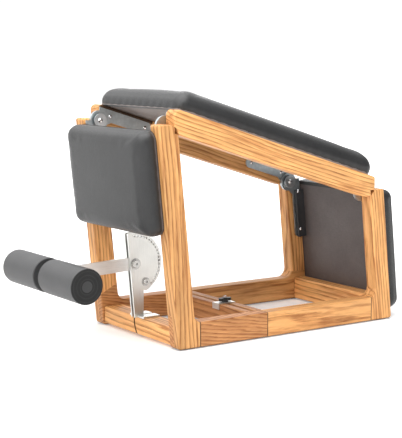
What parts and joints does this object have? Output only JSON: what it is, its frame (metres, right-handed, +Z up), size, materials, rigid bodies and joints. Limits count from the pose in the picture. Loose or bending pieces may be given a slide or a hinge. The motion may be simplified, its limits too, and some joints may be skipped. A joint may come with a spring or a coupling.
{
  "type": "roman chair",
  "caption": "Wooden roman chair: sloping padded bench on two leaning side frames, a folding padded flap at each end, and a leg lever with foam rollers on a perforated bracket.",
  "frame": {"origin": "on the floor, under the middle of the whole object's box", "axes": "+X to the rear (the lower end of the top), +Y to the right side seen from the rear, +Z up"},
  "size_m": [1.0606, 0.42, 0.6576],
  "materials": {
    "light_wood": "oiled ash",
    "dark_wood": "oiled ash, darker board",
    "dowel_wood": "raw beech",
    "board": "dark grey-brown laminate",
    "black_batten": "black stain",
    "black_leather": "fine grain, soft sheen",
    "roller_foam": "matte foam skin",
    "black_plastic": "moulded",
    "felt": "pressed felt",
    "zinc_steel": "zinc plated",
    "satin_steel": "satin",
    "bright_steel": "polished"
  },
  "bodies": {
    "frame": {"base_rail_front_left": "dark_wood", "base_rail_front_right": "dark_wood", "base_rail_rear_left": "light_wood", "base_rail_rear_right": "light_wood", "board_screws": "bright_steel", "bracket_plate_left": "satin_steel", "bracket_plate_right": "satin_steel", "bracket_screws": "bright_steel", "bracket_spacer": "satin_steel", "clamp_bolt": "bright_steel", "clamp_plate": "satin_steel", "clamp_t_bolt": "bright_steel", "floor_glides": "felt", "frame_dowels": "dowel_wood", "front_cross_rail": "light_wood", "front_post_left": "light_wood", "front_post_right": "light_wood", "front_rail_arms": "zinc_steel", "hinge_covers": "zinc_steel", "hinge_pins": "bright_steel", "hinge_rail_screws": "bright_steel", "main_board": "board", "main_pad": "black_leather", "middle_strip_front": "light_wood", "middle_strip_rear": "light_wood", "ratchet_wheels": "zinc_steel", "rear_cross_rail": "light_wood", "rear_post_left": "light_wood", "rear_post_right": "light_wood", "rear_rail_arms": "zinc_steel", "top_rail_left": "light_wood", "top_rail_right": "light_wood"},
    "front_flap": {"front_flap_board": "board", "front_flap_pad": "black_leather", "front_flap_battens": "black_batten", "front_flap_bolts": "bright_steel", "front_flap_arms": "zinc_steel", "front_pawls": "zinc_steel"},
    "rear_flap": {"rear_flap_board": "board", "rear_flap_pad": "black_leather", "rear_flap_battens": "black_batten", "rear_flap_bolts": "bright_steel", "rear_flap_arms": "zinc_steel", "rear_pawls": "zinc_steel"},
    "leg_lever": {"lever_arm": "satin_steel", "index_arm": "satin_steel", "pivot_bolt": "bright_steel", "index_housing": "bright_steel", "roller_axle": "bright_steel", "axle_collars": "bright_steel", "axle_clips": "bright_steel"},
    "index_pin": {"index_pin": "bright_steel", "index_knob": "black_plastic"},
    "roller_left": {"roller_foam_left": "roller_foam", "roller_sleeve_left": "black_plastic", "roller_plug_left": "black_plastic"},
    "roller_right": {"roller_foam_right": "roller_foam", "roller_sleeve_right": "black_plastic", "roller_plug_right": "black_plastic"},
    "clamp_knob": {"clamp_knob": "black_plastic"}
  },
  "joints": [
    {"name": "front_flap_hinge", "type": "hinge", "parent": "frame", "child": "front_flap", "pos_m": [-0.24993, 0, 0.56495], "axis": [0, 1, 0], "range_deg": [0, 113.18]},
    {"name": "rear_flap_hinge", "type": "hinge", "parent": "frame", "child": "rear_flap", "pos_m": [0.39936, 0, 0.36235], "axis": [0, -1, 0], "range_deg": [0, 66.82]},
    {"name": "leg_lever_pivot", "type": "hinge", "parent": "frame", "child": "leg_lever", "pos_m": [-0.24248, 0, 0.197], "axis": [0, 1, 0], "range_deg": [-30, 30]},
    {"name": "index_pin_slide", "type": "slide", "parent": "leg_lever", "child": "index_pin", "axis": [0, -1, 0], "range_m": [0, 0.0196]},
    {"name": "roller_left_spin", "type": "hinge", "parent": "leg_lever", "child": "roller_left", "pos_m": [-0.4858, 0, 0.18744], "axis": [0, 1, 0], "continuous": true},
    {"name": "roller_right_spin", "type": "hinge", "parent": "leg_lever", "child": "roller_right", "pos_m": [-0.4858, 0, 0.18744], "axis": [0, 1, 0], "continuous": true},
    {"name": "clamp_knob_turn", "type": "hinge", "parent": "frame", "child": "clamp_knob", "pos_m": [0.02652, -0.036, 0.062], "axis": [0, 0, 1], "continuous": true}
  ]
}
